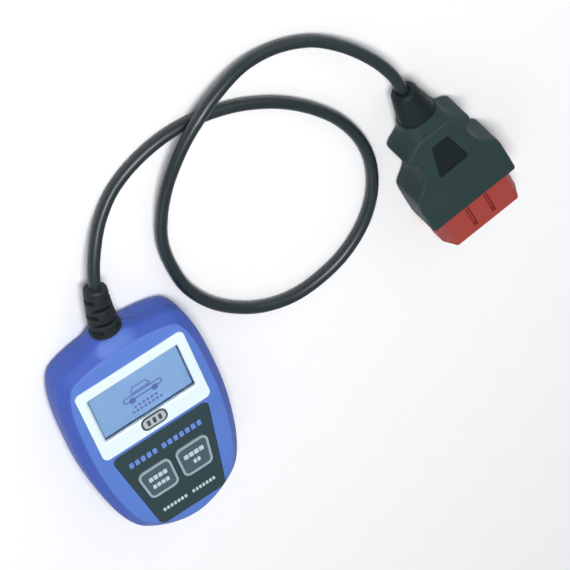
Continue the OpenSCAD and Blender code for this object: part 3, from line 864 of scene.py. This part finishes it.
def tube(path, radii, sides=CABLE_SIDES):
    """Rings of points round a path, in millimetres, with a radius for each point."""
    rings = []
    for i, p in enumerate(path):
        run = (path[min(i + 1, len(path) - 1)] - path[max(i - 1, 0)]).normalized()
        across = run.cross(Vector((0, 0, 1))).normalized()
        up = across.cross(run)
        rings.append([p + (across * math.cos(2 * math.pi * k / sides)
                           + up * math.sin(2 * math.pi * k / sides)) * radii[i]
                      for k in range(sides)])
    return rings


def path_length(path):
    """Length of a path, in the path's own units."""
    return sum((b - a).length for a, b in zip(path, path[1:]))


def cable():
    """The cable's jacket from end to end."""
    path = [p / MM for p in CABLE_PATH]
    piece = mesh_object("cable_jacket", *skin(tube(path, [CABLE_D / 2 / MM] * len(path))))
    return finish_piece(piece, CABLE_BLACK, replaces=["cable"])


RELIEF_BASE = 1.4  # thickness of the disc that lies against the neck
RELIEF_R, RELIEF_TIP_R = 6.55, 4.9
RELIEF_START = Vector((0.2, HALF_L, 9.97))
RELIEF_END_X = 3.45  # the sleeve ends where the cable's middle line passes this X
TIP_ROUND = 0.6  # length of the rounded tip
RELIEF_PITCH, RELIEF_SLOT = 7, 2.1
FLAT_SLOT = 0.75 * RELIEF_SLOT
FIRST_SLOT, SLOT_PAIRS = 2.5, 5
SLOT_FLOOR = 2.95  # from the middle of the cable to the floor of a slot


def relief_line():
    """The cable's middle line from the neck to the end of the relief, in small steps."""
    inside = [p / MM for p in CABLE_PATH
              if HALF_L + 0.5 < p.y / MM and p.x / MM < RELIEF_END_X]
    return [a.lerp(b, k / 3) for a, b in zip([RELIEF_START] + inside, inside) for k in range(3)]


def slot_cutters(line, at):
    """Pairs of blocks that cut the sleeve at its sides and, between those, above and below."""
    cutters = []
    for number in range(SLOT_PAIRS):
        middle = FIRST_SLOT + number * RELIEF_PITCH / 2
        i = next(k for k, d in enumerate(at) if d >= middle)
        here = line[i].lerp(line[i - 1], (at[i] - middle) / (at[i] - at[i - 1]))
        run = (line[i] - line[i - 1]).normalized()
        right = run.cross(Vector((0, 0, 1))).normalized()
        above = number % 2 == 1
        for side in (-1, 1):
            out = (right.cross(run) if above else right) * side
            cutters.append(slot_box(here, run, out, FLAT_SLOT if above else RELIEF_SLOT))
    return cutters


def strain_relief():
    """Tapered, slotted rubber sleeve that bends with the cable, on a plain ring."""
    line = relief_line()
    total = path_length(line)
    at = [path_length(line[:i + 1]) for i in range(len(line))]
    radii = [RELIEF_R + (RELIEF_TIP_R - RELIEF_R) * d / total - 0.5 * max(0, d - total + TIP_ROUND)
             for d in at]
    sleeve = mesh_object("strain_relief_sleeve", *skin(tube(line, radii, 40)))
    cut(sleeve, *slot_cutters(line, at))
    base = [neck_ring(HALF_L + y, r, 56)
            for y, r in ((0, 6.8), (0.12, 6.9), (RELIEF_BASE - 0.3, 6.9), (RELIEF_BASE - 0.1, 6.8),
                         (RELIEF_BASE, 6.6))]
    entry = [neck_ring(HALF_L + y, r, 32)
             for y, r in ((-6.5, 5.9), (-5.2, 5.9), (-5.2, 3.9), (0.3, 3.9))]
    added(sleeve, skin(base), skin(entry))
    return finish_piece(edged(sleeve, 0.45, 42, 3), RELIEF_BLACK,
                        replaces=["handset_strain_relief"])


def slot_box(centre, run, out, width):
    """A block that cuts the sleeve from one side down to its core."""
    across = run.cross(out) * 9
    ends = []
    for along in (-width / 2, width / 2):
        start = centre + run * along
        ends.append([start + out * SLOT_FLOOR - across, start + out * 12 - across,
                     start + out * 12 + across, start + out * SLOT_FLOOR + across])
    return skin(ends)


# ---- Plug ----

def smooth_curve(knots, x):
    """Height at x of a smooth line through the knots that doesn't overshoot them."""
    i = max(k for k in range(len(knots) - 1) if knots[k][0] <= x + 1e-9)
    spans = [b[0] - a[0] for a, b in zip(knots, knots[1:])]
    slopes = [(b[1] - a[1]) / s for a, b, s in zip(knots, knots[1:], spans)]
    tangents = [slopes[0]] + [gentle(*pair) for pair in zip(slopes, slopes[1:])] + [slopes[-1]]
    return eased(knots[i][1], knots[i + 1][1], tangents[i] * spans[i], tangents[i + 1] * spans[i],
                 (x - knots[i][0]) / spans[i])


# The plug body from its boot to its mating face: (along, half width)
PLUG_SIDES = [(14, 8.8), (19, 9.5), (21, 10.2), (22.5, 11.9), (24.3, 14.8), (25.6, 16.0),
              (26.6, 16.1), (28.2, 14.6), (30.4, 12.9), (33, 12.8), (38.8, 14.5), (41.5, 16.7),
              (44, 19.5), (45.6, 20.9), (48, 21.35), (56, 21.5), (63.8, 21.5)]
PLUG_FACES = [(14, 8.3), (19, 8.75), (24, 9.3), (63.8, 10)]
# How round the body's long edges are: (along, radius)
PLUG_EDGES = [(14, 7.4), (18, 5.6), (23, 2.2), (28, 1.6), (63.8, 1.5)]
BODY_START, PLUG_FRONT, INSERT_END = 14, 63.8, 79.5
BODY_RINGS = 166
FRONT_R, FRONT_INSET = 0.7, 0.5  # rounding at the body's front edge
GROOVE_X, GROOVE_DEPTH, GROOVE_REACH = 20.4, 0.35, 0.6  # fine groove behind the ears
# The insert's section: (across, up)
INSERT_CORNERS = [(19.25, -8.25), (19.25, 0.5), (16, 8.25), (-16, 8.25), (-19.25, 0.5),
                  (-19.25, -8.25)]
# The grip pad's recess
GRIP_FLOOR = PLUG_TIP.z + 8.5
GRIP_CORNERS = [(26.3, -4), (26.3, 4), (42, 7.5), (42, -7.5)]
GRIP_R = 1.2
INSERT_ROOT = 52  # back of the insert, inside the body
INSERT_TOP = 8.25
MOUTH_WALL, MOUTH_FLOOR = 1.6, 66
CONTACT_PITCH, CONTACT_ROW = 4, 4.1
KEYWAY_Y, KEYWAY_W = 4.75, 1.9  # the two keyways in the narrow side


def rounded_section(half_w, half_h, radius, steps=8, extra=7):
    """A round-cornered section (across, up), with points along its long sides."""
    ring = rounded([(half_w, -half_h), (half_w, half_h), (-half_w, half_h), (-half_w, -half_h)],
                   radius, steps)
    out = []
    for i, p in enumerate(ring):
        q = ring[(i + 1) % len(ring)]
        out.append(p)
        if (i + 1) % (steps + 1) == 0:
            out += [p.lerp(q, k / extra) for k in range(1, extra)]
    return out


def plug_body():
    """Moulded body: groove, two finger ears, waist and wide front, pocketed for the insert."""
    rings = []
    for k in range(BODY_RINGS + 1):
        x = BODY_START + (PLUG_FRONT - BODY_START) * k / BODY_RINGS
        back = max(0, (x - PLUG_FRONT + FRONT_R) / FRONT_R)
        inset = FRONT_INSET * (1 - math.sqrt(max(0, 1 - back * back)))
        inset += GROOVE_DEPTH * max(0, 1 - abs(x - GROOVE_X) / GROOVE_REACH)
        section = rounded_section(smooth_curve(PLUG_SIDES, x) - inset,
                                  smooth_curve(PLUG_FACES, x) - inset, smooth_curve(PLUG_EDGES, x))
        rings.append([(x, p.x, p.y) for p in section])
    points, faces = skin(rings)
    body = mesh_object("plug_moulding", at_plug(points), faces)
    pocket = plug_prism(grown(INSERT_CORNERS, 0.1), 1.3, INSERT_ROOT, PLUG_FRONT + 1)
    bore = plug_prism(rectangle(6, 3), 0.5, 20, INSERT_ROOT + 1)
    grip_points, grip_faces = prism(grown(GRIP_CORNERS, FIT), GRIP_R, GRIP_FLOOR, GRIP_FLOOR + 5)
    cut(body, pocket, bore, (at_plug_level(grip_points), grip_faces))
    return finish_piece(edged(body, 0.3, 50, 3), PLUG_GREY, replaces=["plug_body"])


def plug_prism(corners, radius, start, end, inset_end=0.0):
    """A round-cornered bar along the plug, its section given as (across, up)."""
    stations = [(0, start), (0, end - inset_end)]
    if inset_end:
        stations += [(inset_end * 0.3, end - inset_end * 0.3), (inset_end, end)]
    points, faces = skin(rings_of(corners, radius, stations, 6))
    return at_plug([(x, across, up) for across, up, x in points]), faces


def rectangle(half_w, half_h, x=0, y=0):
    """Corners of a rectangular section by its middle: (across, up)."""
    return [(x + half_w, y - half_h), (x + half_w, y + half_h), (x - half_w, y + half_h),
            (x - half_w, y - half_h)]


def obd_insert():
    """Red 16-way insert: walls, mouth, central bar, two keyways let into its narrow wall."""
    points, faces = plug_prism(INSERT_CORNERS, 1.2, INSERT_ROOT, INSERT_END, inset_end=0.4)
    insert = mesh_object("insert_moulding", points, faces, sharp=30)
    cut(insert, plug_prism(grown(INSERT_CORNERS, -MOUTH_WALL), 0.8, MOUTH_FLOOR, INSERT_END + 1))
    bar = plug_prism(rectangle(9, 1.1), 0.3, MOUTH_FLOOR - 0.5, 78, inset_end=0.3)
    keyways = [side * KEYWAY_Y for side in (-1, 1)]
    ribs = [plug_prism(rectangle(KEYWAY_W / 2 + 0.8, 1.3, y, INSERT_TOP - 2.1), 0.2,
                       MOUTH_FLOOR - 1, 77.3) for y in keyways]
    added(insert, bar, *ribs)
    slots = [plug_prism(rectangle(KEYWAY_W / 2, 2, y, INSERT_TOP - 0.6), 0.2, 65.4, 76.5)
             for y in keyways]
    holes = [plug_prism(rectangle(0.8, 0.45, (k - 3.5) * CONTACT_PITCH, row * CONTACT_ROW), 0.1,
                        INSERT_ROOT - 1, MOUTH_FLOOR + 1) for k in range(8) for row in (-1, 1)]
    cut(insert, *slots, *holes)
    return finish_piece(edged(insert, 0.15, 50), INSERT_RED,
                        replaces=["obd_insert"])


def grip_pad():
    """Dark pad with a softly rounded edge, set in the top of the plug body."""
    low, high = (corner.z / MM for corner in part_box("plug_grip_pad"))
    points, faces = skin(rings_of(GRIP_CORNERS, GRIP_R, softened(low, high + 0.1, 0.3)))
    pad = mesh_object("grip_pad", at_plug_level(points), faces, sharp=40)
    return finish_piece(pad, BOOT_BLACK, replaces=["plug_grip_pad"])


# The boot from its bore round its tip to its root: (along, radius)
BOOT_PROFILE = [(14, 2.7), (0.5, 2.7), (0.2, 2.8), (0, 3.1), (0, 4.4), (0.15, 4.85), (0.5, 5.3),
                (1.0, 5.6), (1.8, 5.85), (3.5, 6.15), (7, 6.95), (10.5, 7.75), (14, 8.3)]


def plug_boot():
    """Tapered boot with a rounded tip, bored for the cable."""
    rings = [[(x, y, z) for y, z, _ in circle(0, 0, r, 0, 48)] for x, r in BOOT_PROFILE]
    points, faces = skin(rings, loop=True)
    boot = mesh_object("boot_moulding", at_plug(points), faces, sharp=50)
    return finish_piece(boot, BOOT_BLACK, replaces=["plug_boot"])


# ---- The finishes ----

def srgb(red, green, blue):
    """A colour as it looks on screen, 0 to 255, in linear light."""
    return tuple(((c / 255 + 0.055) / 1.055) ** 2.4 if c > 10 else c / 255 / 12.92
                 for c in (red, green, blue))


# The case's sloped band and side walls get a darker blue: painted shade, on top of the shade that the
# lamps give.
CASE_BLUE = painted_slope_shade(plastic("case_blue", srgb(89, 123, 200), roughness=0.48, grain=0.35,
                             grain_mm=0.3, spread=0.05, patch_mm=14, specular=0.24),
                     srgb(64, 90, 176), 0.72, 0.94)
BEZEL_WHITE = plastic("bezel_white", srgb(226, 241, 248), roughness=0.35, grain=0.15,
                      grain_mm=0.25, spread=0.02, patch_mm=12, coat=0.15)
BADGE_DARK = plastic("badge_dark", srgb(58, 72, 76), roughness=0.3, grain=0.1, coat=0.3)
BADGE_FIELD = plastic("badge_field", srgb(182, 186, 192), roughness=0.35, grain=0.1, coat=0.2)
PANEL_GREY = plastic("panel_grey", srgb(48, 67, 71), roughness=0.5, grain=0.25, grain_mm=0.2,
                     patch_mm=8, specular=0.2)
KEY_GREY = plastic("key_grey", srgb(72, 92, 99), roughness=0.5, grain_mm=0.25, patch_mm=5,
                   specular=0.25)
KEY_RIM = plastic("key_rim", srgb(150, 170, 178), roughness=0.45, grain=0.2, grain_mm=0.25,
                  spread=0.05, patch_mm=5)
MARK_BLUE = plastic("mark_blue", srgb(104, 134, 214), roughness=0.5, grain=0.1, spread=0.08,
                    patch_mm=2)
MARK_PALE = plastic("mark_pale", srgb(186, 204, 214), roughness=0.5, grain=0.1, spread=0.08,
                    patch_mm=2)
LCD_INK = plastic("display_ink", srgb(98, 112, 188), roughness=0.5, grain=0.05, spread=0.12,
                  patch_mm=1.2)
# Painted shadow round the display's window
LCD_SHADOW_PAINT = plastic("display_shadow_paint", srgb(78, 98, 142), roughness=0.5, grain=0.05, spread=0.12,
                       patch_mm=1.2, specular=0.2)
LCD_BLUE = display_material("display_blue", srgb(129, 164, 205))
WINDOW_CLEAR = clear_pane("window_clear")
RELIEF_BLACK = plastic("relief_black", srgb(24, 33, 35), roughness=0.55, grain_mm=0.3, spread=0.1,
                       patch_mm=4, wear=0.2, specular=0.3)
CABLE_BLACK = plastic("cable_black", srgb(29, 42, 45), roughness=0.36, grain=0.2, grain_mm=0.4,
                      spread=0.08, patch_mm=6, specular=0.55)
BOOT_BLACK = plastic("boot_black", srgb(18, 30, 31), roughness=0.5, grain=0.35, grain_mm=0.3,
                     spread=0.08, patch_mm=6, specular=0.25)
PLUG_GREY = plastic("plug_grey", srgb(41, 59, 60), roughness=0.54, grain=0.4, grain_mm=0.3,
                    spread=0.07, specular=0.22)
INSERT_RED = plastic("insert_red", srgb(158, 64, 57), roughness=0.58, grain=0.25, grain_mm=0.3,
                     spread=0.07, patch_mm=6, specular=0.25)

# Finishes of the CAD pieces that stay as they are, by material slot
CAD_FINISHES = {
    "window_clear": WINDOW_CLEAR,
    "display_blue": LCD_BLUE,
    "foam_black": plastic("foam_black", srgb(30, 30, 32), roughness=0.9, grain=0.8, grain_mm=0.5),
    "backlight_white": plastic("backlight_white", srgb(235, 238, 240), roughness=0.5),
    "flex_amber": plastic("flex_amber", srgb(190, 110, 30), roughness=0.3, coat=0.4),
    "chip_black": plastic("chip_black", srgb(38, 38, 40), roughness=0.6, grain_mm=0.15),
    "plunger_brown": plastic("plunger_brown", srgb(110, 72, 44), roughness=0.45),
    "board_green": plastic("board_green", srgb(28, 92, 52), roughness=0.3, grain_mm=0.6, coat=0.4,
                           spread=0.15, patch_mm=3),
    "metal_can": metal("metal_can", (0.72, 0.73, 0.75), roughness=0.28),
    "capacitor_tan": plastic("capacitor_tan", srgb(176, 146, 108), roughness=0.5),
    "nylon_ivory": plastic("nylon_ivory", srgb(226, 220, 200), roughness=0.45),
    "wire_red": plastic("wire_red", srgb(180, 40, 36), roughness=0.4),
    "screw_steel": metal("screw_steel", (0.5, 0.51, 0.53), roughness=0.32),
    "label_silver": plastic("label_silver", srgb(196, 200, 204), roughness=0.4, grain=0.1,
                            spread=0.03, coat=0.1),
    "boot_black": BOOT_BLACK,
    "contact_brass": metal("contact_brass", (0.78, 0.6, 0.3), roughness=0.25),
}
CAD_EDGES = {"shell_screws": 0.12, "rear_label": 0.06, "contact_pins": 0.12,
             "display_window": 0.1}


def finish_cad_nodes():
    """Gives each CAD piece that stays its finish, and softens the edges of those in sight."""
    for part in frame["record"]["subparts"]:
        name, piece = part["node"], frame["nodes"][part["node"]]
        if name in REPLACED:
            continue
        piece.data.materials.clear()
        piece.data.materials.append(CAD_FINISHES[part["material_slot"]])
        if name in CAD_EDGES:
            piece.modifiers.new("weld", "WELD").merge_threshold = CAD_WELD
            add_bevel(piece, CAD_EDGES[name])
            flat_faces(piece)


# ---- The object ----

add_camera()
cable_piece = cable()
relief_piece = strain_relief()
boot_piece = plug_boot()
body_piece = plug_body()
insert_piece = obd_insert()
pad_piece = grip_pad()
front_shell()
rear_shell()
display_bezel()
badge()
keypad_panel()
panel_marks()
painted_display_shadow()
display_picture()
for key_side in ("left", "right"):
    key_cap(key_side)
    key_rim(key_side)
    key_legend(key_side)
finish_cad_nodes()

add_studio()
bpy.context.scene.view_settings.view_transform = "Standard"
